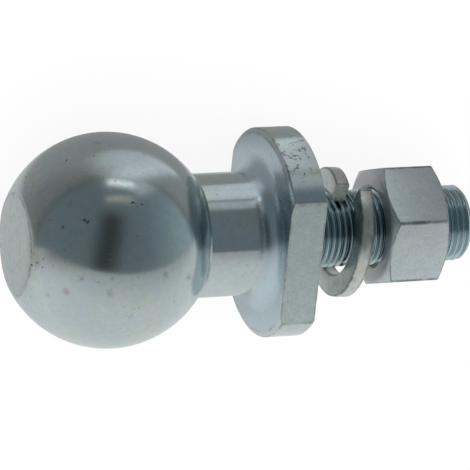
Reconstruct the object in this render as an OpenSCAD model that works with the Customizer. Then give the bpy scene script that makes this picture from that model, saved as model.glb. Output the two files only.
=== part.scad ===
// Coupling ball stud with its spring washer and nut, lying as it comes to rest, on the ball and one flange flat.
// Each piece is made along X, the ball at -X and the shank at +X, and lying() then tips it down to the table.
// The origin is the centre of the flange's back face, where the stud seats on a plate.
// Angles around the stud start at its side, -Y, and grow upwards, towards +Z.

/* [Ball] */
// Diameter of the coupling ball
ball_d = 50; // [44:0.5:60]
// Diameter of the flat faced on the ball's end
ball_flat_d = 23.6; // [10:0.1:30]

/* [Neck] */
// Diameter of the neck between the ball and the flange
neck_d = 29; // [22:0.5:34]
// Distance from the ball's centre to the flange's front face
ball_to_flange = 37.2; // [32:0.1:60]
// Radius of the fillet where the neck meets the flange
neck_fillet_r = 4.5; // [1:0.1:6]

/* [Flange] */
// Diameter of the flange's round rim
flange_d = 49.2; // [44:0.1:60]
// Thickness of the flange
flange_t = 8.6; // [5:0.1:16]
// Distance across the flange's two spanner flats
flange_af = 39; // [34:0.1:43]
// Width of the bevel on the flange's front face
bevel_w = 1.25; // [0.2:0.05:2]
// Depth of that bevel along the rim
bevel_depth = 0.6; // [0.2:0.05:2]

/* [Shank] */
// Outer diameter of the threaded shank
thread_d = 18; // [14:0.5:20]
// Pitch of the right-hand thread, shown by ring grooves
thread_pitch = 1.5; // [1:0.25:2.5]
// Length of the shank behind the flange
shank_len = 43.1; // [39:0.1:80]
// Chamfer on the shank's end
end_chamfer = 1.2; // [0.4:0.1:2.5]

/* [Hexagon nut] */
// Distance across the nut's flats
nut_af = 27; // [25:0.5:36]
// Height of the nut
nut_h = 15; // [8:0.5:18]
// Radial clearance between the nut's bore and the shank
nut_clearance = 0.05; // [0.02:0.01:0.1]
// Distance from the nut's flats in to the flat ring on each end
nut_ring_inset = 0.55; // [0.2:0.05:1.5]
// Slope of the chamfer on the nut's corners
nut_chamfer_angle = 30; // [15:1:40]
// Width of the countersink at each end of the bore
countersink_w = 0.9; // [0.3:0.1:1.5]
// Free length of shank between the washer and the nut
nut_gap = 3.8; // [0.5:0.1:5]
// Angle of a corner of the nut around the stud
nut_roll = 55; // [0:0.5:60]

/* [Spring washer] */
// Play of the washer's hole over the shank
washer_play = 2.2; // [1:0.1:4]
// Radial width of the washer's wire
washer_w = 5.2; // [3:0.1:7]
// Thickness of the washer's wire
washer_t = 3.2; // [2:0.1:5]
// Axial distance that the coil climbs from one end to the other
washer_rise = 5.2; // [2:0.1:7]
// Small chamfer on the wire's edges
washer_edge = 0.3; // [0.1:0.05:0.6]
// Angle of the slit around the stud
slit_at = 156; // [0:1:359]
// Width of the slit as an angle
slit_w = 4; // [2:0.5:12]
// Tilt of the loose washer
lean = 4.2; // [0:0.1:5]
// Side of the washer that tilts towards the nut
lean_towards = 235; // [0:1:359]
// Side to which the loose washer lies off the shank's axis
hang_towards = 16; // [0:1:359]
// Clearance that the tilted washer needs where it hangs on the shank
hang_clearance = 0.25; // [0.2:0.05:0.45]
// Free length of shank between the flange and the washer
washer_gap = 7.8; // [3:0.1:10]

/* [Hidden] */
$fn = 128;
ball_r = ball_d / 2;
neck_r = neck_d / 2;
flange_r = flange_d / 2;
thread_r = thread_d / 2;
ball_x = -(flange_t + ball_to_flange);
ball_flat_x = ball_x - sqrt(pow(ball_r, 2) - pow(ball_flat_d / 2, 2));
flat_z = flange_af / 2;
// The fillet ends short of the flats
fillet_r = min(neck_fillet_r, flat_z - neck_r - 0.4);
// The stud tips until the back edge of the lower flat meets the table under the ball
lie_angle = asin(ball_r / norm([ball_x, flat_z])) - atan2(flat_z, -ball_x);
// A cutter reaches this far past what it cuts
past = 1;

// The wire's section as points of distance along the stud and radius
wire_in = thread_r + washer_play / 2;
wire_out = wire_in + washer_w;
wire_section = [
    [washer_edge, wire_in],
    [0, wire_in + washer_edge],
    [0, wire_out - washer_edge],
    [washer_edge, wire_out],
    [washer_t - washer_edge, wire_out],
    [washer_t, wire_out - washer_edge],
    [washer_t, wire_in + washer_edge],
    [washer_t - washer_edge, wire_in]
];
coil_steps = 90;
coil_start = slit_at + slit_w / 2;
coil_turn = 360 - slit_w;
corners = len(wire_section);
lean_side = [0, -cos(lean_towards), sin(lean_towards)];

// A point at a distance along the stud, a radius and an angle around it
function around(x, r, angle) = [x, -r * cos(angle), r * sin(angle)];

// The point tilted by the washer's lean
function leaned(p) =
    let (
        out = p * lean_side,
        along = p[0] * cos(lean) + out * sin(lean),
        side = out * cos(lean) - p[0] * sin(lean)
    )
    [along, p[1], p[2]] + (side - out) * lean_side;

coil_points = [
    for (step = [0 : coil_steps])
        for (corner = wire_section)
            leaned(around(
                corner[0] + washer_rise * (step / coil_steps - 0.5) - washer_t / 2,
                corner[1],
                coil_start + coil_turn * step / coil_steps
            ))
];
coil_sides = [
    for (step = [0 : coil_steps - 1])
        for (c = [0 : corners - 1])
            let (
                here = step * corners,
                next = here + corners,
                d = (c + 1) % corners
            )
            each [
                [here + c, here + d, next + d],
                [here + c, next + d, next + c]
            ]
];
last_ring = coil_steps * corners;
coil_ends = [
    [for (c = [corners - 1 : -1 : 0]) c],
    [for (c = [0 : corners - 1]) last_ring + c]
];
coil_reach = [for (p = coil_points) p[0]];
washer_x = washer_gap - min(coil_reach);
washer_drop = washer_play / 2 - hang_clearance;
nut_x = washer_x + max(coil_reach) + nut_gap;

// One groove of the thread as steps of distance along the stud and radius, behind a crest
root_r = thread_r - 0.613 * thread_pitch;
crest_w = thread_pitch / 8;
root_w = thread_pitch / 4;
flank_w = (thread_pitch - crest_w - root_w) / 2;
groove = [
    [crest_w, thread_r],
    [crest_w + flank_w, root_r],
    [thread_pitch - flank_w, root_r],
    [thread_pitch, thread_r]
];
groove_count = floor((shank_len - end_chamfer / 3) / thread_pitch);

// The shank's radius, held under the chamfer on its end
function chamfered(x, r) = min(r, thread_r - max(0, x - shank_len + end_chamfer));

// Lays a shape made along Z along the stud, starting at x
module along(x) {
    translate([x, 0, 0])
        rotate([0, 90, 0])
            children();
}

// Tips a piece from level down to where the stud lies on the table
module lying() {
    rotate([0, lie_angle, 0])
        children();
}

module ball() {
    difference() {
        translate([ball_x, 0, 0])
            sphere(ball_r);
        translate([ball_flat_x - ball_r, -ball_r, -ball_r])
            cube([ball_r, ball_d, ball_d]);
    }
}

module neck() {
    along(ball_x)
        cylinder(h = ball_to_flange + past, r = neck_r);
    along(-flange_t)
        rotate_extrude()
            difference() {
                translate([neck_r - past, -fillet_r])
                    square([fillet_r + past, fillet_r + past / 2]);
                translate([neck_r + fillet_r, -fillet_r])
                    circle(fillet_r);
            }
}

module flange() {
    intersection() {
        along(-flange_t)
            rotate_extrude()
                polygon([
                    [0, 0],
                    [flange_r - bevel_w, 0],
                    [flange_r, bevel_depth],
                    [flange_r, flange_t],
                    [0, flange_t]
                ]);
        translate([-flange_t - past, -flange_d, -flat_z])
            cube([flange_t + 2 * past, 2 * flange_d, flange_af]);
    }
}

module shank() {
    along(0)
        rotate_extrude()
            polygon(concat(
                [[0, -past], [thread_r, -past]],
                [
                    for (i = [0 : groove_count - 1])
                        for (p = groove)
                            let (x = p[0] + i * thread_pitch)
                            [chamfered(x, p[1]), x]
                ],
                [[thread_r - end_chamfer, shank_len], [0, shank_len]]
            ));
}

module ball_stud() {
    color([0.63, 0.68, 0.71])
        union() {
            ball();
            neck();
            flange();
            shank();
        }
}

module spring_washer() {
    color([0.66, 0.67, 0.63])
        translate(around(washer_x, washer_drop, hang_towards))
            polyhedron(points = coil_points, faces = concat(coil_sides, coil_ends));
}

module hex_nut() {
    corner_r = nut_af / sqrt(3);
    ring_r = nut_af / 2 - nut_ring_inset;
    chamfer_h = (corner_r + past - ring_r) * tan(nut_chamfer_angle);
    bore_r = thread_r + nut_clearance;
    color([0.62, 0.66, 0.68])
        difference() {
            intersection() {
                rotate([-nut_roll, 0, 0])
                    along(nut_x)
                        rotate([0, 0, 30])
                            cylinder(h = nut_h, r = corner_r, $fn = 6);
                along(nut_x)
                    rotate_extrude()
                        polygon([
                            [0, 0],
                            [ring_r, 0],
                            [corner_r + past, chamfer_h],
                            [corner_r + past, nut_h - chamfer_h],
                            [ring_r, nut_h],
                            [0, nut_h]
                        ]);
            }
            along(nut_x - past)
                cylinder(h = nut_h + 2 * past, r = bore_r);
            along(nut_x)
                cylinder(h = countersink_w, r1 = bore_r + countersink_w, r2 = bore_r);
            along(nut_x + nut_h - countersink_w)
                cylinder(h = countersink_w, r1 = bore_r, r2 = bore_r + countersink_w);
        }
}

lying() ball_stud();
lying() spring_washer();
lying() hex_nut();
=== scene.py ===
"""Looks of a coupling ball stud with its spring washer and nut, lying on its ball and one flange flat."""
import math

import bpy
from mathutils import Matrix, Vector


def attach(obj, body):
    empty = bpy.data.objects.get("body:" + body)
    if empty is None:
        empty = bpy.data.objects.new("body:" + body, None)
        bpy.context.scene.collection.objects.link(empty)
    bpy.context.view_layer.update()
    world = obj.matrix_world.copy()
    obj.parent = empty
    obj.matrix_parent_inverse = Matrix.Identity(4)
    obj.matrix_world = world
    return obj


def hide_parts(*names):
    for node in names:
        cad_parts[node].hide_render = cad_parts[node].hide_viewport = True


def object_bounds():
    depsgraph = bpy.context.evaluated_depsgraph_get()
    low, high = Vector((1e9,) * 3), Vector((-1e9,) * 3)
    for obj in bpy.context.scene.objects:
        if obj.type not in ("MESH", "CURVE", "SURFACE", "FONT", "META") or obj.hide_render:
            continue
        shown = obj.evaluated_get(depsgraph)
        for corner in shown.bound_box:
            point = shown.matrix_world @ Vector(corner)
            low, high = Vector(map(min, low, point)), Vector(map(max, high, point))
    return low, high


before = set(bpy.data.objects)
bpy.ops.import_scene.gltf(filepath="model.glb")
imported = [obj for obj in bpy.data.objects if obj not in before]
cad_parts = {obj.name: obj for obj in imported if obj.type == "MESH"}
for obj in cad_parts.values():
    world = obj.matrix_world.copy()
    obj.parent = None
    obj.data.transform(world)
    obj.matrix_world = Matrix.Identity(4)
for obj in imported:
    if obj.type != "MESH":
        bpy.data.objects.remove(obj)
cad_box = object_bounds()

# Sizes of the real pieces, in metres
MM = 0.001
BALL_R = 25 * MM
BALL_X = -45.8 * MM
BALL_FLAT_R = 11.8 * MM
BALL_FLAT_X = BALL_X - math.sqrt(BALL_R ** 2 - BALL_FLAT_R ** 2)
NECK_R = 14.5 * MM
NECK_FILLET = 4.5 * MM
FLANGE_R = 24.6 * MM
FLANGE_T = 8.6 * MM
FRONT_X = -FLANGE_T
FLAT_Z = 19.5 * MM
FLAT_EASE = 0.3 * MM
BEVEL_W = 1.25 * MM
BEVEL_DEPTH = 0.6 * MM
SHANK_LEN = 43.1 * MM
END_CHAMFER = 1.2 * MM

PITCH = 1.5 * MM
CREST_R = 9.0 * MM
ROOT_R = 8.1 * MM
CREST_EASE = 0.04 * MM
ROOT_EASE = 0.06 * MM
THREAD_PLAY = 0.07 * MM

NUT_X = 19.98 * MM
NUT_H = 15 * MM
NUT_FAR = NUT_X + NUT_H
NUT_FLAT = 13.5 * MM
NUT_CORNER = NUT_FLAT / math.cos(math.radians(30))
NUT_RING = NUT_FLAT - 0.55 * MM
NUT_CHAMFER = math.radians(30)
NUT_ROLL = 55
NUT_EASE = 0.28 * MM
COUNTERSINK = 0.95 * MM

WIRE_IN = 10.1 * MM
WIRE_OUT = 15.3 * MM
WIRE_T = 3.2 * MM
WIRE_EDGE = 0.3 * MM
COIL_RISE = 5.2 * MM
COIL_START = 158
COIL_TURN = math.radians(356)
WASHER_X = 11.817 * MM
WASHER_OFF = 0.85 * MM
WASHER_SIDE = 16
LEAN = math.radians(4.2)
LEAN_SIDE = 235

# The stud's axis dips from level until the back edge of the lower flat meets the table
LIE = math.asin(BALL_R / math.hypot(BALL_X, FLAT_Z)) - math.atan2(FLAT_Z, -BALL_X)
# The photograph shows the stud level and rolled round from how it lies
PHOTO_ROLL = math.radians(105.72)
AXIS = Vector((1, 0, 0))

# Fineness of the meshes
TURNED_STEPS = 192
THREAD_STEPS = 72
COIL_STEPS = 180
EASE_STEPS = 3
WELD = 0.002 * MM
SHARP = math.radians(18)
SMOOTH_BELOW = math.radians(24)


def around(x, r, degrees):
    """The point at x along the stud, r off its axis, at an angle that starts at -Y and grows upwards."""
    a = math.radians(degrees)
    return Vector((x, -r * math.cos(a), r * math.sin(a)))


# Modelling steps


def only(obj):
    """Makes obj the one selected and active object."""
    bpy.ops.object.select_all(action="DESELECT")
    obj.select_set(True)
    bpy.context.view_layer.objects.active = obj


def edit(obj, action="SELECT"):
    """Opens obj in edit mode with everything selected, or nothing."""
    only(obj)
    bpy.ops.object.mode_set(mode="EDIT")
    bpy.ops.mesh.select_all(action=action)


def done():
    bpy.ops.object.mode_set(mode="OBJECT")


def draw_profile(name, points):
    """A chain of edges through points of distance along the stud and radius, drawn above the axis."""
    bpy.ops.object.select_all(action="DESELECT")
    bpy.ops.mesh.primitive_plane_add(size=MM)
    profile = bpy.context.object
    profile.name = name
    edit(profile)
    bpy.ops.mesh.merge(type="CENTER")
    bpy.ops.transform.translate(value=(points[0][0], 0, points[0][1]))
    for (x0, r0), (x1, r1) in zip(points, points[1:]):
        bpy.ops.mesh.extrude_vertices_move(TRANSFORM_OT_translate={"value": (x1 - x0, 0, r1 - r0)})
    done()
    return profile


def weld(obj, close_ends=False):
    """Merges doubled points, closes open ends if asked, and turns all faces outwards."""
    edit(obj)
    bpy.ops.mesh.remove_doubles(threshold=WELD)
    bpy.ops.mesh.select_all(action="SELECT")
    if close_ends:
        bpy.ops.mesh.fill_holes(sides=0)
        bpy.ops.mesh.select_all(action="SELECT")
    bpy.ops.mesh.normals_make_consistent(inside=False)
    done()


def turn(name, points):
    """A lathe-turned shape: the profile spun once round the stud's axis."""
    shape = draw_profile(name, points)
    edit(shape)
    bpy.ops.mesh.spin(steps=TURNED_STEPS, angle=math.tau, center=(0, 0, 0), axis=AXIS)
    done()
    weld(shape)
    return shape


def coil_up(profile, angle, climb, turns, steps):
    """Sweeps a profile round the stud's axis while it climbs along it."""
    only(profile)
    screw = profile.modifiers.new("screw", "SCREW")
    screw.axis = "X"
    screw.angle = angle
    screw.screw_offset = climb
    screw.iterations = turns
    screw.steps = screw.render_steps = steps
    bpy.ops.object.modifier_apply(modifier=screw.name)


def slice_off(obj, point, normal):
    """Cuts obj at a plane, takes away what lies beyond it and closes the cut."""
    edit(obj)
    bpy.ops.mesh.bisect(plane_co=point, plane_no=normal, use_fill=True, clear_outer=True, threshold=1e-7)
    done()


def combine(obj, tool, operation):
    """Joins, cuts or trims obj with a tool, which is used up."""
    only(obj)
    step = obj.modifiers.new(operation.lower(), "BOOLEAN")
    step.operation = operation
    step.solver = "EXACT"
    step.object = tool
    bpy.ops.object.modifier_apply(modifier=step.name)
    bpy.data.objects.remove(tool)


def ease_selected(width):
    """Rounds the selected edges and leaves edit mode."""
    bpy.ops.mesh.bevel(offset=width, segments=EASE_STEPS, affect="EDGES", clamp_overlap=True)
    bpy.ops.mesh.select_mode(type="VERT")
    done()


def place(obj, matrix):
    """Moves a finished mesh to its place, with the object itself left at the origin."""
    only(obj)
    obj.matrix_world = matrix
    bpy.ops.object.transform_apply(location=True, rotation=True, scale=True)


def arc(centre, radius, start, end, count):
    """Points of an arc of distance along the stud and radius, from one angle to another."""
    steps = [math.radians(start + (end - start) * i / count) for i in range(count + 1)]
    return [(centre[0] + radius * math.cos(a), centre[1] + radius * math.sin(a)) for a in steps]


# Thread


def thread_profile(grow):
    """One pitch of the thread, crest first, grown outwards by a play."""
    crest, root = CREST_R + grow, ROOT_R + grow
    return [
        (0.00 * PITCH, crest - CREST_EASE),
        (0.03 * PITCH, crest),
        (0.14 * PITCH, crest),
        (0.17 * PITCH, crest - CREST_EASE),
        (0.47 * PITCH, root + ROOT_EASE),
        (0.53 * PITCH, root),
        (0.64 * PITCH, root),
        (0.70 * PITCH, root + ROOT_EASE),
        (1.00 * PITCH, crest - CREST_EASE),
    ]


def threaded_rod(name, start, end, grow=0.0):
    """A right-hand threaded rod from start to end; every rod's helix has the same phase."""
    first = math.floor(start / PITCH) - 2
    turns = math.ceil(end / PITCH) + 2 - first
    rod = draw_profile(name, [(x + first * PITCH, r) for x, r in thread_profile(grow)])
    coil_up(rod, math.tau, PITCH, turns, THREAD_STEPS)
    weld(rod)
    slice_off(rod, (start, 0, 0), -AXIS)
    slice_off(rod, (end, 0, 0), AXIS)
    weld(rod)
    return rod


# Stud


def make_head():
    """The ball with its faced end, the neck and the fillet, open where the flange goes on."""
    flat_angle = math.degrees(math.asin(BALL_FLAT_R / BALL_R))
    neck_angle = math.degrees(math.asin(NECK_R / BALL_R))
    neck_start = BALL_X + BALL_R * math.cos(math.radians(neck_angle))
    face = (0, 0.35 * BALL_FLAT_R, 0.7 * BALL_FLAT_R, BALL_FLAT_R - 0.25 * MM)
    neck = (neck_start + 0.35 * MM, BALL_X + 24 * MM, BALL_X + 29 * MM)
    fillet_centre = (FRONT_X - NECK_FILLET, NECK_R + NECK_FILLET)
    points = [(BALL_FLAT_X, r) for r in face]
    points += arc((BALL_X, 0), BALL_R, 180 - flat_angle - 0.5, neck_angle + 0.7, 56)
    points += [(x, NECK_R) for x in neck]
    points += arc(fillet_centre, NECK_FILLET, 270, 360, 12)
    return turn("turned_stud", points)


def make_flange():
    """The flange with its bevelled front edge and two spanner flats."""
    flange = turn("flange", [
        (FRONT_X, NECK_R + NECK_FILLET),
        (FRONT_X, FLANGE_R - BEVEL_W - 0.15 * MM),
        (FRONT_X + 0.03 * MM, FLANGE_R - BEVEL_W + 0.1 * MM),
        (FRONT_X + BEVEL_DEPTH - 0.08 * MM, FLANGE_R - 0.1 * MM),
        (FRONT_X + BEVEL_DEPTH + 0.1 * MM, FLANGE_R),
        (0.6 * FRONT_X, FLANGE_R),
        (0.3 * FRONT_X, FLANGE_R),
        (-FLAT_EASE, FLANGE_R),
        (0, FLANGE_R - FLAT_EASE),
        (0, 0.6 * FLANGE_R),
        (0, 0),
    ])
    for side in (1, -1):
        slice_off(flange, (0, 0, side * FLAT_Z), (0, 0, side))
    edit(flange, "DESELECT")
    done()
    for face in flange.data.polygons:
        face.select = abs(face.normal.z) > 0.999 and abs(abs(face.center.z) - FLAT_Z) < 0.01 * MM
    only(flange)
    bpy.ops.object.mode_set(mode="EDIT")
    bpy.ops.mesh.region_to_loop()
    ease_selected(FLAT_EASE)
    return flange


def make_shank():
    """The threaded shank, trimmed to the chamfer on its end, with a stub that reaches into the flange."""
    shank = threaded_rod("shank", -1.5 * MM, SHANK_LEN)
    blank = turn("shank_blank", [
        (-3 * MM, 0),
        (-3 * MM, CREST_R + 0.1 * MM),
        (SHANK_LEN - END_CHAMFER, CREST_R + 0.001 * MM),
        (SHANK_LEN - 0.12 * MM, CREST_R - END_CHAMFER + 0.12 * MM),
        (SHANK_LEN, CREST_R - END_CHAMFER - 0.2 * MM),
        (SHANK_LEN, 0),
    ])
    combine(shank, blank, "INTERSECT")
    return shank


def make_stud():
    stud, flange = make_head(), make_flange()
    only(stud)
    flange.select_set(True)
    bpy.ops.object.join()
    weld(stud)
    combine(stud, make_shank(), "UNION")
    return stud


# Nut


def make_nut():
    """The hexagon nut, turned with its chamfers, cut to six flats and tapped."""
    wide = NUT_CORNER + 0.4 * MM
    slope = (wide - NUT_RING) * math.tan(NUT_CHAMFER)
    nut = turn("tapped_nut", [
        (NUT_X, 0), (NUT_X, 0.8 * NUT_RING), (NUT_X, NUT_RING), (NUT_X + slope, wide),
        (NUT_FAR - slope, wide), (NUT_FAR, NUT_RING), (NUT_FAR, 0.8 * NUT_RING), (NUT_FAR, 0),
    ])
    for side in range(6):
        out = around(0, 1, NUT_ROLL + 30 + 60 * side)
        slice_off(nut, out * NUT_FLAT, out)
    edit(nut, "DESELECT")
    bpy.ops.mesh.select_mode(type="EDGE")
    bpy.ops.mesh.edges_select_sharp(sharpness=SHARP)
    ease_selected(NUT_EASE)

    past = 2 * MM
    mouth, bore = CREST_R + 0.05 * MM, ROOT_R + 0.15 * MM
    run_in = COUNTERSINK + 1 * MM
    tap = threaded_rod("tap", NUT_X - past, NUT_FAR + past, THREAD_PLAY)
    drill = turn("drill", [
        (NUT_X - past, 0), (NUT_X - past, mouth + COUNTERSINK + past), (NUT_X + COUNTERSINK, mouth),
        (NUT_X + run_in, bore), (NUT_FAR - run_in, bore),
        (NUT_FAR - COUNTERSINK, mouth), (NUT_FAR + past, mouth + COUNTERSINK + past), (NUT_FAR + past, 0),
    ])
    combine(nut, tap, "DIFFERENCE")
    combine(nut, drill, "DIFFERENCE")
    return nut


# Spring washer


def make_washer():
    """The split washer: a wire with rounded edges, coiled almost once, tilted and hung on the shank."""
    low, high = WIRE_IN + WIRE_EDGE, WIRE_OUT - WIRE_EDGE
    start = WIRE_EDGE - (WIRE_T + COIL_RISE) / 2
    end = start + WIRE_T - 2 * WIRE_EDGE
    wire = []
    for x, r, angle in ((start, low, 270), (start, high, 180), (end, high, 90), (end, low, 0)):
        wire += arc((x, r), WIRE_EDGE, angle, angle - 90, EASE_STEPS)
    wire.append(wire[0])
    washer = draw_profile("coiled_washer", wire)
    coil_up(washer, -COIL_TURN, COIL_RISE, 1, COIL_STEPS)
    weld(washer, close_ends=True)
    lean = Matrix.Rotation(LEAN, 4, around(0, 1, LEAN_SIDE).cross(AXIS))
    roll = Matrix.Rotation(-math.radians(COIL_START - 90), 4, "X")
    place(washer, Matrix.Translation(around(WASHER_X, WASHER_OFF, WASHER_SIDE)) @ lean @ roll)
    return washer


# Shader steps


def node(tree, kind, *values, **options):
    """Adds a node with its options, and gives its first inputs each a value or a link."""
    made = tree.nodes.new("ShaderNode" + kind)
    for option, value in options.items():
        setattr(made, option, value)
    for socket, value in zip(made.inputs, values):
        if isinstance(value, bpy.types.NodeSocket):
            tree.links.new(value, socket)
        elif value is not None:
            socket.default_value = value
    return made


def maths(tree, operation, *values):
    return node(tree, "Math", *values, operation=operation).outputs[0]


def chained(tree, operation, values):
    """One operation on two or more values, from the first to the last."""
    result = values[0]
    for value in values[1:]:
        result = maths(tree, operation, result, value)
    return result


def times(tree, *values):
    return chained(tree, "MULTIPLY", values)


def total(tree, *values):
    return chained(tree, "ADD", values)


def highest(tree, *values):
    return chained(tree, "MAXIMUM", values)


def vectors(tree, operation, *values):
    made = node(tree, "VectorMath", *values, operation=operation)
    return made.outputs["Value" if operation in ("LENGTH", "DISTANCE", "DOT_PRODUCT") else "Vector"]


def axes(tree, where):
    """The three coordinates of a place."""
    return tuple(node(tree, "SeparateXYZ", where).outputs)


def hypotenuse(tree, a, b):
    return maths(tree, "SQRT", total(tree, times(tree, a, a), times(tree, b, b)))


def spread(tree, value, low, high, out_low=0.0, out_high=1.0):
    """Spreads a value between two limits smoothly over a new range."""
    made = node(tree, "MapRange", value, low, high, out_low, out_high, interpolation_type="SMOOTHSTEP")
    return made.outputs[0]


def within(tree, value, rise, fall):
    """1 from the end of a rise to the start of a fall, each a pair of limits, and 0 outside them."""
    return times(tree, spread(tree, value, *rise), spread(tree, value, fall[1], fall[0]))


def close_to(tree, value, target, width):
    """1 where a value is at a target, 0 from a width away."""
    off = maths(tree, "ABSOLUTE", maths(tree, "SUBTRACT", value, target))
    return spread(tree, off, width, 0.4 * width)


def grain(tree, where, scale, detail=3.0, roughness=0.55, distortion=0.0):
    """A noise pattern from 0 to 1, with so many grains to the metre."""
    made = node(tree, "TexNoise", where)
    made.inputs["Scale"].default_value = scale
    made.inputs["Detail"].default_value = detail
    made.inputs["Roughness"].default_value = roughness
    made.inputs["Distortion"].default_value = distortion
    return made.outputs[0]


def stretched(tree, where, scale):
    """A place whose patterns are drawn out along the axes with a small scale."""
    return node(tree, "Mapping", where, None, None, scale).outputs[0]


def dots(tree, where, scale, edge, centre, share):
    """Small dots, so many to the metre, which fade in from an edge to a centre, with a share of each shown."""
    cells = node(tree, "TexVoronoi", where, None, scale).outputs["Distance"]
    return times(tree, spread(tree, cells, edge, centre), share)


def tinted(tree, share, first, second):
    """Mixes two colours, each a value or a link."""
    made = tree.nodes.new("ShaderNodeMix")
    made.data_type = "RGBA"
    for index, value in ((0, share), (6, first), (7, second)):
        if isinstance(value, bpy.types.NodeSocket):
            tree.links.new(value, made.inputs[index])
        elif index == 0:
            made.inputs[index].default_value = value
        else:
            made.inputs[index].default_value = (*value, 1)
    return made.outputs[2]


def coated(tree, colour, *coats):
    """A colour under several coats, each a share and a tint, with the last on top."""
    for share, tint in coats:
        colour = tinted(tree, share, colour, tint)
    return colour


def start_metal(name):
    """A metal shader, and the place on the piece along the stud's own axes."""
    material = bpy.data.materials.new(name)
    material.use_nodes = True
    tree = material.node_tree
    shader = tree.nodes["Principled BSDF"]
    shader.inputs["Metallic"].default_value = 1
    where = node(tree, "Mapping", node(tree, "TexCoord").outputs["Object"], None, (0, -LIE, 0)).outputs[0]
    return material, tree, shader, where


def finish_metal(tree, shader, colour, roughness, height, depth):
    """Gives the shader its colour and roughness, and a height pattern of a depth as relief."""
    tree.links.new(colour, shader.inputs["Base Color"])
    tree.links.new(roughness, shader.inputs["Roughness"])
    relief = tree.nodes.new("ShaderNodeBump")
    relief.inputs["Strength"].default_value = 1
    relief.inputs["Distance"].default_value = depth
    tree.links.new(height, relief.inputs["Height"])
    tree.links.new(relief.outputs[0], shader.inputs["Normal"])


# Tints of the stud
BLUE_ZINC = ((0.548, 0.642, 0.656), (0.592, 0.678, 0.684))
LILAC = (0.640, 0.636, 0.690)
PALE_GREEN = (0.600, 0.672, 0.600)
MILKY_BLUE = (0.485, 0.550, 0.565)
RING_GREY = (0.50, 0.56, 0.59)
FACE_BLUE = (0.525, 0.665, 0.755)
FACED_GREY = (0.605, 0.668, 0.645)
SMUDGE_GREY = (0.420, 0.455, 0.435)
MILLED_ZINC = ((0.360, 0.432, 0.426), (0.498, 0.572, 0.560))
THREAD_BLUE = (0.505, 0.670, 0.715)
# Painted shade for the thread's grooves
GROOVE_SHADE = (0.12, 0.175, 0.2)
STAIN_BROWN = (0.40, 0.36, 0.33)
DIRT_BROWN = (0.22, 0.19, 0.16)
WORN_BROWN = (0.30, 0.27, 0.24)
MARK_BLACK = (0.09, 0.09, 0.085)

# Tints of the nut
NUT_ZINC = ((0.525, 0.606, 0.640), (0.600, 0.666, 0.680))
NUT_MILKY = (0.660, 0.690, 0.698)
NUT_BRUSHED = (0.47, 0.51, 0.525)
NUT_GRAIN = (0.38, 0.42, 0.435)
NUT_PINK = (0.470, 0.432, 0.455)
NUT_WORN = (0.17, 0.165, 0.16)
NUT_SPECK = (0.16, 0.15, 0.14)

# Tints of the washer
STRAW_ZINC = ((0.520, 0.595, 0.580), (0.630, 0.660, 0.635))
STRAW_RIM = (0.715, 0.705, 0.665)
STRAW_PATCH = (0.600, 0.575, 0.500)
STRAW_SMEAR = (0.340, 0.350, 0.325)
STRAW_GRAIN = (0.440, 0.475, 0.455)
STRAW_WORN = (0.17, 0.15, 0.12)

# Marks on the ball: degrees from its faced end, degrees round the stud, and radius in mm
PITS = (
    (61, 126, 0.62), (62.5, 125, 0.48), (87, 132.5, 0.5), (88.5, 132, 0.3), (92, 131.5, 0.3), (60, 172.5, 0.26),
    (38, 170.5, 0.26), (29, 91, 0.4), (32.5, 96, 0.36), (36.5, 93, 0.4), (72.5, 106, 0.35), (73.5, 103.5, 0.3),
)
STAINS = (
    (42, 131, 1.1), (51.5, 79.5, 1.7), (74, 84.5, 1.5), (87, 69.5, 1.0), (120.5, 88.5, 1.4), (59, 91.5, 1.1),
    (74.5, 93, 0.9), (41.5, 70, 1.2), (79.5, 178.5, 1.8), (32.5, 95, 1.5), (103.5, 93.5, 1.3),
)
# The scratched part of the flange's rim, and the side of the neck with dirt in its fillet
SCRATCHED = (-4.6 * MM, 22.9 * MM, 8.0 * MM)
DIRTY_SIDE = 117


def spots(tree, where, marks, inner):
    """Where any of the ball's marks lies, each full within an inner share of its radius."""
    shares = []
    for from_end, degrees, radius in marks:
        a = math.radians(from_end)
        centre = around(BALL_X - BALL_R * math.cos(a), BALL_R * math.sin(a), degrees)
        off = vectors(tree, "DISTANCE", where, tuple(centre))
        shares.append(spread(tree, off, radius * MM, inner * radius * MM))
    return highest(tree, *shares)


# Materials


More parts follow.
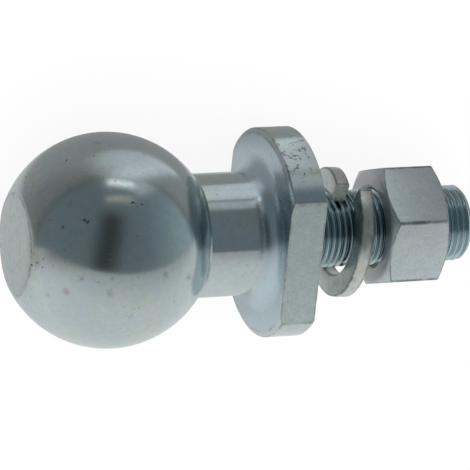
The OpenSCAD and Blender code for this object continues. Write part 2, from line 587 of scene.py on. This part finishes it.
def turned_zinc():
    """Bright blue zinc over turned steel, dull on the milled flats, with pits, stains and scratches."""
    material, tree, shader, where = start_metal("turned_zinc")
    x, y, z = axes(tree, where)
    radius = hypotenuse(tree, y, z)
    rings = node(tree, "CombineXYZ", x, radius).outputs[0]

    # The milled flats, the rolled thread with painted shade in its grooves, the polished neck, the flange's
    # front face and the ball's faced end
    on_flange = maths(tree, "GREATER_THAN", x, FRONT_X - 0.05 * MM)
    off_middle = maths(tree, "ABSOLUTE", z)
    flat = times(tree, spread(tree, off_middle, FLAT_Z - 0.25 * MM, FLAT_Z - 0.08 * MM), on_flange)
    thread = spread(tree, x, 0.0, 0.1 * MM)
    # Painted shade in the thread's grooves: full from the flange to the middle of the nut, down to about a
    # third from the nut's far end on
    shade_between_parts = spread(tree, x, NUT_X + 8 * MM, NUT_FAR, 1.0, 0.35)
    groove_shade = times(tree, spread(tree, radius, CREST_R, ROOT_R), thread, shade_between_parts)
    neck = within(tree, x, (-27 * MM, -25 * MM), (-15 * MM, -12 * MM))
    face = within(tree, x, (-13.5 * MM, -11 * MM), (FRONT_X + 0.1 * MM, FRONT_X + 0.2 * MM))
    faced = spread(tree, x, BALL_X - 21.9 * MM, BALL_X - 22.0 * MM)

    # Patterns: turning marks round the axis, grain, clouds of tint
    fine_rings = grain(tree, rings, 2600, 4, 0.6)
    broad_rings = grain(tree, rings, 420, 2)
    speckle = grain(tree, where, 2000, 4, 0.65)
    milky = grain(tree, where, 640, 5, 0.62, 0.8)
    cloud = grain(tree, where, 70, 3)
    patch = grain(tree, where, 190, 4, 0.6, 0.6)
    greenish = grain(tree, where, 110, 3)
    wobble = node(tree, "TexNoise", where, None, 900.0).outputs["Color"]
    wobble = vectors(tree, "SUBTRACT", wobble, (0.5, 0.5, 0.5))
    ragged = vectors(tree, "ADD", where, vectors(tree, "SCALE", wobble, None, None, 1.3 * MM))

    # Marks: pits, stains and small specks on the ball, dirt in the neck's fillet
    pits = spots(tree, ragged, PITS, 0.35)
    stains = times(tree, spots(tree, ragged, STAINS, 0.0), spread(tree, milky, 0.3, 0.6, 0.35, 1.0))
    off_seam = maths(tree, "SUBTRACT", axes(tree, ragged)[0], FRONT_X - NECK_FILLET + 0.1 * MM)
    off_seam = maths(tree, "ABSOLUTE", off_seam)
    on_side = vectors(tree, "DOT_PRODUCT", where, tuple(around(0, 1 / NECK_R, DIRTY_SIDE)))
    dirt = times(
        tree, spread(tree, off_seam, 0.9 * MM, 0.0), spread(tree, on_side, 0.84, 0.97),
        spread(tree, grain(tree, where, 260, 3), 0.3, 0.6, 0.3, 1.0))
    specks = dots(tree, ragged, 300.0, 0.14, 0.04, spread(tree, grain(tree, where, 60, 2), 0.5, 0.62, 0, 0.6))
    dust = dots(tree, ragged, 640.0, 0.2, 0.06, spread(tree, grain(tree, where, 130, 3), 0.48, 0.62, 0, 0.5))
    smudge = times(tree, faced, spread(tree, grain(tree, where, 520, 5, 0.65, 0.9), 0.48, 0.62))

    # Scratches and small dents on the flange's rim
    rim = times(tree, on_flange, spread(tree, radius, FLANGE_R - 0.5 * MM, FLANGE_R - 0.1 * MM))
    near = spread(tree, vectors(tree, "DISTANCE", where, SCRATCHED), 9.5 * MM, 5.0 * MM)
    off_line = maths(tree, "ABSOLUTE", maths(tree, "SUBTRACT", grain(tree, where, 250, 2, 0.5, 1.0), 0.5))
    broken = spread(tree, grain(tree, where, 420, 2), 0.47, 0.56)
    scratches = times(tree, rim, near, spread(tree, off_line, 0.026, 0.01), broken)
    marks = highest(tree, pits, specks, dust, times(tree, scratches, 0.75))

    # Wear along the turned and milled edges
    turned_edges = [
        spread(tree, vectors(tree, "DISTANCE", rings, (*edge, 0)), 0.5 * MM, 0.2 * MM)
        for edge in (
            (FRONT_X, FLANGE_R - BEVEL_W), (FRONT_X + BEVEL_DEPTH, FLANGE_R),
            (0, FLANGE_R), (BALL_FLAT_X, BALL_FLAT_R),
        )
    ]
    border = highest(
        tree, close_to(tree, x, FRONT_X + 0.1 * MM, 0.45 * MM), close_to(tree, x, -0.1 * MM, 0.45 * MM),
        spread(tree, radius, FLANGE_R - 0.5 * MM, FLANGE_R - 0.2 * MM))
    edges = highest(tree, *turned_edges, times(tree, border, flat))
    worn = times(tree, edges, spread(tree, grain(tree, where, 420, 4, 0.65), 0.44, 0.6, 0.12, 1.0))

    mottle = spread(tree, total(tree, speckle, times(tree, milky, 0.8)), 0.6, 1.25)
    colour = coated(
        tree, tinted(tree, spread(tree, cloud, 0.3, 0.7), *BLUE_ZINC),
        (spread(tree, patch, 0.48, 0.68, 0, 0.65), LILAC),
        (spread(tree, greenish, 0.48, 0.66, 0, 0.75), PALE_GREEN),
        (spread(tree, milky, 0.35, 0.65, 0, 0.42), MILKY_BLUE),
        (spread(tree, fine_rings, 0.35, 0.75, 0, 0.12), RING_GREY),
        (times(tree, face, 0.5), FACE_BLUE),
        (times(tree, faced, 0.5), FACED_GREY),
        (times(tree, smudge, 0.4), SMUDGE_GREY),
        (times(tree, flat, 0.92), tinted(tree, mottle, *MILLED_ZINC)),
        (times(tree, thread, 0.6), THREAD_BLUE),
        # Painted shade in the thread's grooves
        (times(tree, groove_shade, 0.7), GROOVE_SHADE),
        (times(tree, stains, 0.6), STAIN_BROWN),
        (times(tree, dirt, 0.6), DIRT_BROWN),
        (times(tree, worn, 0.62), WORN_BROWN),
        (times(tree, marks, 0.88), MARK_BLACK),
    )
    roughness = total(
        tree, spread(tree, cloud, 0.25, 0.75, 0.11, 0.165), times(tree, neck, -0.05), times(tree, milky, 0.09),
        times(tree, face, 0.1), times(tree, flat, 0.42), times(tree, highest(tree, stains, marks, dirt), 0.25))
    tree.links.new(spread(tree, flat, 0.0, 1.0, 1.0, 0.8), shader.inputs["Metallic"])
    height = total(
        tree, times(tree, fine_rings, 0.05), times(tree, broad_rings, 0.05),
        times(tree, speckle, maths(tree, "MULTIPLY_ADD", flat, 0.6, 0.04)), times(tree, milky, 0.18),
        times(tree, smudge, -0.5), times(tree, highest(tree, pits, scratches), -1.2))
    finish_metal(tree, shader, colour, roughness, height, 0.02 * MM)
    return material


def matt_zinc():
    """Dull blue-grey zinc over cold-formed steel, pinkish on the end faces, with dark worn edges."""
    material, tree, shader, where = start_metal("matt_zinc")
    shader.inputs["Metallic"].default_value = 0.93
    x, y, z = axes(tree, where)
    radius = hypotenuse(tree, y, z)

    # The hexagon's edges: its corners, and where its flats meet the chamfers
    outwards = [tuple(around(0, 1, NUT_ROLL + 30 + 60 * side)) for side in range(3)]
    off_axis = highest(
        tree, *(maths(tree, "ABSOLUTE", vectors(tree, "DOT_PRODUCT", where, out)) for out in outwards))
    on_flat = spread(tree, off_axis, NUT_FLAT - 0.3 * MM, NUT_FLAT - 0.12 * MM)
    chamfer_depth = times(tree, maths(tree, "SUBTRACT", radius, NUT_RING), math.tan(NUT_CHAMFER))
    from_ends = (maths(tree, "SUBTRACT", x, NUT_X), maths(tree, "SUBTRACT", NUT_FAR, x))
    chamfers = highest(tree, *(close_to(tree, chamfer_depth, off, 0.28 * MM) for off in from_ends))
    corners = spread(tree, radius, NUT_CORNER - 0.36 * MM, NUT_CORNER - 0.16 * MM)
    edges = highest(tree, times(tree, on_flat, chamfers), corners)
    worn = times(tree, edges, spread(tree, grain(tree, where, 320, 4, 0.65), 0.35, 0.58, 0.35, 1.0))
    end_face = highest(tree, *(spread(tree, off, 0.5 * MM, 0.15 * MM) for off in from_ends))

    # Patterns: grain, milky patches, clouds, marks along the stud and dark specks
    fine = grain(tree, where, 2300, 5, 0.7)
    milky = grain(tree, where, 560, 5, 0.6, 0.6)
    cloud = grain(tree, where, 130, 4, 0.6)
    brushed = grain(tree, stretched(tree, where, (0.25, 1.0, 1.0)), 900, 4)
    specks = dots(tree, where, 330.0, 0.12, 0.05, spread(tree, grain(tree, where, 90, 2), 0.55, 0.65, 0, 0.7))

    colour = coated(
        tree, tinted(tree, spread(tree, cloud, 0.3, 0.7), *NUT_ZINC),
        (spread(tree, milky, 0.4, 0.7, 0, 0.6), NUT_MILKY),
        (spread(tree, brushed, 0.4, 0.75, 0, 0.4), NUT_BRUSHED),
        (spread(tree, fine, 0.42, 0.7, 0, 0.6), NUT_GRAIN),
        (times(tree, end_face, 0.6), NUT_PINK),
        (times(tree, worn, 0.82), NUT_WORN),
        (specks, NUT_SPECK),
    )
    roughness = total(tree, spread(tree, cloud, 0.3, 0.7, 0.25, 0.31), times(tree, fine, 0.08))
    height = total(tree, times(tree, fine, 0.6), milky, brushed)
    finish_metal(tree, shader, colour, roughness, height, 0.012 * MM)
    return material


def straw_zinc():
    """Yellowish zinc over spring steel, with dark marks along the wire's edges."""
    material, tree, shader, where = start_metal("straw_zinc")

    # The place on the wire: along the stud from the middle of the section, off the coil's axis, round the coil
    lean = Matrix.Rotation(LEAN, 3, around(0, 1, LEAN_SIDE).cross(AXIS))
    off = vectors(tree, "SUBTRACT", where, tuple(around(WASHER_X, WASHER_OFF, WASHER_SIDE)))
    x, across, up = (
        vectors(tree, "DOT_PRODUCT", off, tuple(lean @ side))
        for side in (AXIS, around(0, 1, COIL_START), around(0, 1, COIL_START + 90)))
    angle = maths(tree, "FLOORED_MODULO", maths(tree, "ARCTAN2", up, across), math.tau)
    climb = node(tree, "MapRange", angle, 0.0, COIL_TURN, -COIL_RISE / 2, COIL_RISE / 2).outputs[0]
    x = maths(tree, "SUBTRACT", x, climb)
    radius = hypotenuse(tree, across, up)
    section = node(tree, "CombineXYZ", x, radius).outputs[0]

    # The wire's four long edges, its two cut ends and its outer rim
    long_edges = [
        spread(tree, vectors(tree, "DISTANCE", section, (side * WIRE_T / 2, r, 0)), 0.6 * MM, 0.25 * MM)
        for side in (1, -1) for r in (WIRE_IN, WIRE_OUT)
    ]
    end_band, end_width = 0.026, 0.022
    cut_ends = [close_to(tree, angle, end, end_width) for end in (end_band, COIL_TURN - end_band)]
    edges = highest(tree, *long_edges, *cut_ends)
    worn = times(tree, edges, spread(tree, grain(tree, where, 420, 3), 0.34, 0.54, 0.3, 1.0))
    rim = spread(tree, radius, WIRE_OUT - 0.3 * MM, WIRE_OUT - 0.1 * MM)

    # Patterns: grain, clouds, yellow patches and smears
    fine = grain(tree, where, 2200, 4, 0.65)
    cloud = grain(tree, where, 160, 3)
    patch = grain(tree, where, 330, 4, 0.6, 0.5)
    smear = grain(tree, stretched(tree, where, (1.0, 0.35, 0.35)), 900, 4, 0.6)

    colour = coated(
        tree, tinted(tree, spread(tree, cloud, 0.35, 0.65), *STRAW_ZINC),
        (times(tree, rim, 0.7), STRAW_RIM),
        (spread(tree, patch, 0.5, 0.72, 0, 0.6), STRAW_PATCH),
        (spread(tree, smear, 0.46, 0.68, 0, 0.5), STRAW_SMEAR),
        (spread(tree, fine, 0.4, 0.7, 0, 0.4), STRAW_GRAIN),
        (times(tree, worn, 0.75), STRAW_WORN),
    )
    roughness = total(tree, spread(tree, cloud, 0.3, 0.7, 0.22, 0.30), times(tree, fine, 0.08))
    finish_metal(tree, shader, colour, roughness, total(tree, fine, patch, smear), 0.01 * MM)
    return material


# Stage sizes, in metres, and the way from the photograph's level stud to the lying one
TIP = Matrix.Rotation(LIE, 4, "Y")
PHOTO = TIP @ Matrix.Rotation(-PHOTO_ROLL, 4, "X")
BALL_PLACE = Vector((BALL_X, 0, 0))
FLOOR_Z = cad_box[0].z
FLOOR_SIZE = 12
WHITE_CARD = (0.9, 0.5)
WHITE_CARD_FRONT = -63 * MM
GREY_SHEET = 4.2
PALE_CARD = 0.8
TENT_R = 2.0
# The sheet and the pale card lie over the floor by these heights
SHEET_LIFT = 0.3 * MM
PALE_LIFT = 0.6 * MM


def start_glow(name, colour=(0.98, 1.0, 1.005)):
    """A light of one colour, whose level is given later, and the place on the card."""
    material = bpy.data.materials.new(name)
    material.use_nodes = True
    tree = material.node_tree
    tree.nodes.clear()
    light = node(tree, "Emission", (*colour, 1))
    out = tree.nodes.new("ShaderNodeOutputMaterial")
    tree.links.new(light.outputs[0], out.inputs["Surface"])
    return material, tree, light.inputs["Strength"], tree.nodes.new("ShaderNodeTexCoord").outputs["Object"]


def show_part(tree, strength, shown):
    """Makes a card clear, apart from where it is shown."""
    clear = tree.nodes.new("ShaderNodeBsdfTransparent")
    both = node(tree, "MixShader", shown, clear.outputs[0], strength.node.outputs[0])
    tree.links.new(both.outputs[0], tree.nodes["Material Output"].inputs["Surface"])


def reflected_only(obj, material):
    """Stages a card that only shiny surfaces see."""
    obj.data.materials.append(material)
    obj.visible_camera = obj.visible_diffuse = obj.visible_shadow = False
    obj.visible_transmission = obj.visible_volume_scatter = False


def add_plane(name, matrix, width, depth):
    bpy.ops.object.select_all(action="DESELECT")
    bpy.ops.mesh.primitive_plane_add(size=1)
    plane = bpy.context.object
    plane.name = name
    plane.matrix_world = matrix @ Matrix.Diagonal((width, depth, 1, 1))
    return plane


def towards_photo(azimuth, elevation):
    """A direction given by an azimuth from the stud's side, growing to the right, and an elevation."""
    a, e = math.radians(azimuth), math.radians(elevation)
    return Vector((math.sin(a) * math.cos(e), -math.cos(a) * math.cos(e), math.sin(e)))


def ramp_level(tree, value, low, high, stops):
    """A level that goes through stops of value and level."""
    made = node(tree, "ValToRGB", node(tree, "MapRange", value, low, high).outputs[0])
    points = made.color_ramp.elements
    while len(points) < len(stops):
        points.new(0.5)
    for point, (at, level) in zip(points, stops):
        point.position = (at - low) / (high - low)
        point.color = (level, level, level, 1)
    return made.outputs[0]


def seen_as_background(tree):
    """1 for rays from the camera, off metal and through glass, 0 for light that falls on things."""
    rays = tree.nodes.new("ShaderNodeLightPath").outputs
    return highest(tree, rays["Is Camera Ray"], rays["Is Glossy Ray"], rays["Is Transmission Ray"])


def add_camera():
    """The camera at the photograph's viewing angle."""
    azimuth, elevation, distance = -21.008, 7.7245, 862.73 * MM
    aim = Vector((-14.004 * MM, 0, -0.336 * MM))
    data = bpy.data.cameras.new("camera")
    data.sensor_fit = "HORIZONTAL"
    data.sensor_width = 36
    data.lens = 283.16
    camera = bpy.data.objects.new("camera", data)
    scene.collection.objects.link(camera)
    stands = Matrix.Translation(aim + towards_photo(azimuth, elevation) * distance)
    pan = Matrix.Rotation(math.radians(azimuth), 4, "Z")
    tilt = Matrix.Rotation(math.radians(90 - elevation), 4, "X")
    camera.matrix_world = PHOTO @ stands @ pan @ tilt
    scene.camera = camera


def add_floor():
    """A pale floor, which keeps part of the object's shadow."""
    floor = add_plane("floor", Matrix.Translation((0, 0, FLOOR_Z)), FLOOR_SIZE, FLOOR_SIZE)
    paint = bpy.data.materials.new("floor_paint")
    paint.use_nodes = True
    tree = paint.node_tree
    matt = tree.nodes["Principled BSDF"]
    matt.inputs["Base Color"].default_value = (0.94, 0.94, 0.94, 1)
    matt.inputs["Roughness"].default_value = 0.9
    matt.inputs["Specular IOR Level"].default_value = 0
    white = node(tree, "Emission", (1, 1, 1, 1), 1.0)
    whitened = times(tree, seen_as_background(tree), 0.88)
    both = node(tree, "MixShader", whitened, matt.outputs[0], white.outputs[0])
    tree.links.new(both.outputs[0], tree.nodes["Material Output"].inputs["Surface"])
    floor.data.materials.append(paint)


def add_white_card():
    """A white card under the stud as the photograph shows it, darker to the left and at its front edge."""
    width, depth = WHITE_CARD
    lies = Matrix.Translation((0, WHITE_CARD_FRONT + depth / 2, -BALL_R - 0.05 * MM))
    card = add_plane("white_card", PHOTO @ lies, width, depth)
    material, tree, strength, place_on = start_glow("white_card")
    x, y, _ = axes(tree, place_on)
    left = spread(tree, x, -0.2, -0.08, 0.6, 1.0)
    front = ramp_level(tree, y, -0.5, -0.35, (
        (-0.5, 0.42), (-0.46, 0.53), (-0.42, 0.70), (-0.38, 0.78), (-0.35, 0.70)))
    tree.links.new(times(tree, left, front), strength)
    reflected_only(card, material)


def add_grey_sheet():
    """A grey sheet over the floor, darker past the ball, on one side of the stud and further off."""
    sheet = add_plane("grey_sheet", Matrix.Translation((0, 0, FLOOR_Z + SHEET_LIFT)), GREY_SHEET, GREY_SHEET)
    material, tree, strength, place_on = start_glow("grey_sheet")
    on_floor = vectors(tree, "MULTIPLY", place_on, (GREY_SHEET, GREY_SHEET, 0))
    x, y, _ = axes(tree, on_floor)
    past_ball = spread(tree, x, -0.12, -0.07, 0.74, 1.0)
    far_off = spread(tree, vectors(tree, "LENGTH", on_floor), 0.05, 0.7, 1.0, 0.52)
    level = ramp_level(tree, y, -60 * MM, 60 * MM, (
        (-60 * MM, 0.60), (12 * MM, 0.60), (18 * MM, 0.34), (60 * MM, 0.30)))
    tree.links.new(times(tree, past_ball, far_off, level), strength)
    reflected_only(sheet, material)


def add_pale_card():
    """A pale card over part of the sheet, slightly uneven, brighter to the right, with soft sides."""
    middle = PALE_CARD / 2
    card = add_plane("pale_card", Matrix.Translation((0, middle, FLOOR_Z + PALE_LIFT)), PALE_CARD, PALE_CARD)
    material, tree, strength, place_on = start_glow("pale_card", (0.95, 1.0, 1.05))
    on_floor = vectors(tree, "MULTIPLY_ADD", place_on, (PALE_CARD, PALE_CARD, 0), (0, middle, 0))
    x, y, _ = axes(tree, on_floor)
    uneven = spread(tree, grain(tree, on_floor, 32, 3, 0.6), 0.3, 0.7, 0.86, 1.12)
    tree.links.new(times(tree, uneven, spread(tree, x, -60 * MM, 25 * MM, 0.49, 0.74)), strength)
    inside = []
    for corner, inwards, soft in (
        ((-62 * MM, 68 * MM), (0.998, 0.067), 0.2),
        ((-45 * MM, 58 * MM), (0.383, 0.923), 0.05),
        ((17 * MM, 60 * MM), (-0.928, 0.371), 0.16),
    ):
        from_corner = vectors(tree, "SUBTRACT", on_floor, (*corner, 0))
        into = vectors(tree, "DOT_PRODUCT", from_corner, (*inwards, 0))
        inside.append(spread(tree, maths(tree, "DIVIDE", into, y), -soft, soft))
    show_part(tree, strength, times(tree, *inside))
    reflected_only(card, material)


def add_grey_tent():
    """A grey half-dome all round, brighter to the right."""
    bpy.ops.object.select_all(action="DESELECT")
    bpy.ops.mesh.primitive_uv_sphere_add(segments=48, ring_count=24, radius=TENT_R)
    tent = bpy.context.object
    tent.name = "grey_tent"
    slice_off(tent, (0, 0, FLOOR_Z), (0, 0, -1))
    material, tree, strength, place_on = start_glow("grey_tent", (0.82, 1.0, 1.09))
    right = vectors(tree, "DOT_PRODUCT", vectors(tree, "NORMALIZE", place_on), tuple(PHOTO.to_3x3() @ AXIS))
    level = ramp_level(tree, right, -1.0, 1.0, (
        (-0.9, 0.185), (-0.6, 0.17), (-0.2, 0.165), (0.2, 0.178), (0.45, 0.2), (0.75, 0.28), (1.0, 0.42)))
    tree.links.new(level, strength)
    reflected_only(tent, material)


def add_card(name, start, end, width, level, colour, soft):
    """A card with soft edges, about a metre from the ball, from one direction to another."""
    first, last = towards_photo(*start), towards_photo(*end)
    out = (first + last).normalized()
    long_side = (last - first).normalized()
    length = (last - first).length
    turned = Matrix((long_side, out.cross(long_side), out)).transposed().to_4x4()
    card = add_plane(name, PHOTO @ Matrix.Translation(BALL_PLACE + out) @ turned, length, width)
    material, tree, strength, place_on = start_glow(name, colour)
    strength.default_value = level
    x, y, _ = axes(tree, place_on)
    along, across = maths(tree, "ABSOLUTE", x), maths(tree, "ABSOLUTE", y)
    show_part(tree, strength, times(
        tree, spread(tree, across, 0.5, 0.5 - soft / width), spread(tree, along, 0.5, 0.5 - soft / length)))
    reflected_only(card, material)


def add_soft_lamp():
    """A broad light from straight above, which gives the floor its soft shadow."""
    data = bpy.data.lights.new("soft_lamp", "SUN")
    data.energy = 3.0
    data.angle = math.radians(120)
    lamp = bpy.data.objects.new("soft_lamp", data)
    scene.collection.objects.link(lamp)
    lamp.visible_glossy = False


def add_room():
    """A white background, which lights the object less than it shows."""
    room = bpy.data.worlds.new("room")
    scene.world = room
    room.use_nodes = True
    tree = room.node_tree
    sky = tree.nodes["Background"]
    sky.inputs["Color"].default_value = (1, 1, 1, 1)
    level = node(tree, "MapRange", seen_as_background(tree), 0.0, 1.0, 0.3, 1.0)
    tree.links.new(level.outputs[0], sky.inputs["Strength"])


# The pieces on their bodies
stud, nut, washer = make_stud(), make_nut(), make_washer()
for piece, body, node_name, slot, finish in (
    (stud, "stud", "ball_stud", "stud_zinc", turned_zinc()),
    (washer, "washer", "spring_washer", "washer_zinc", straw_zinc()),
    (nut, "nut", "hex_nut", "nut_zinc", matt_zinc()),
):
    place(piece, TIP)
    only(piece)
    bpy.ops.object.shade_smooth_by_angle(angle=SMOOTH_BELOW)
    piece.data.materials.clear()
    piece.data.materials.append(finish)
    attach(piece, body)
    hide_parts(node_name)

# Camera, floor, cards and light
scene = bpy.context.scene
add_camera()
add_floor()
add_white_card()
add_grey_sheet()
add_pale_card()
add_grey_tent()
add_card("strip_light", (-24, 70), (42, 57), 0.19, 1.5, (0.98, 1.0, 1.0), 0.08)
add_card("right_panel", (25, 52), (85, 48), 0.34, 0.48, (0.95, 1.0, 1.04), 0.12)
add_card("side_lamp", (-24, 51), (25, 45), 0.18, 0.48, (0.98, 1.0, 0.88), 0.08)
add_card("dark_flag", (1, 60), (-31, -52), 0.84, 0.05, (0.9, 1.0, 1.05), 0.4)
add_soft_lamp()
add_room()

scene.view_settings.view_transform = "Standard"
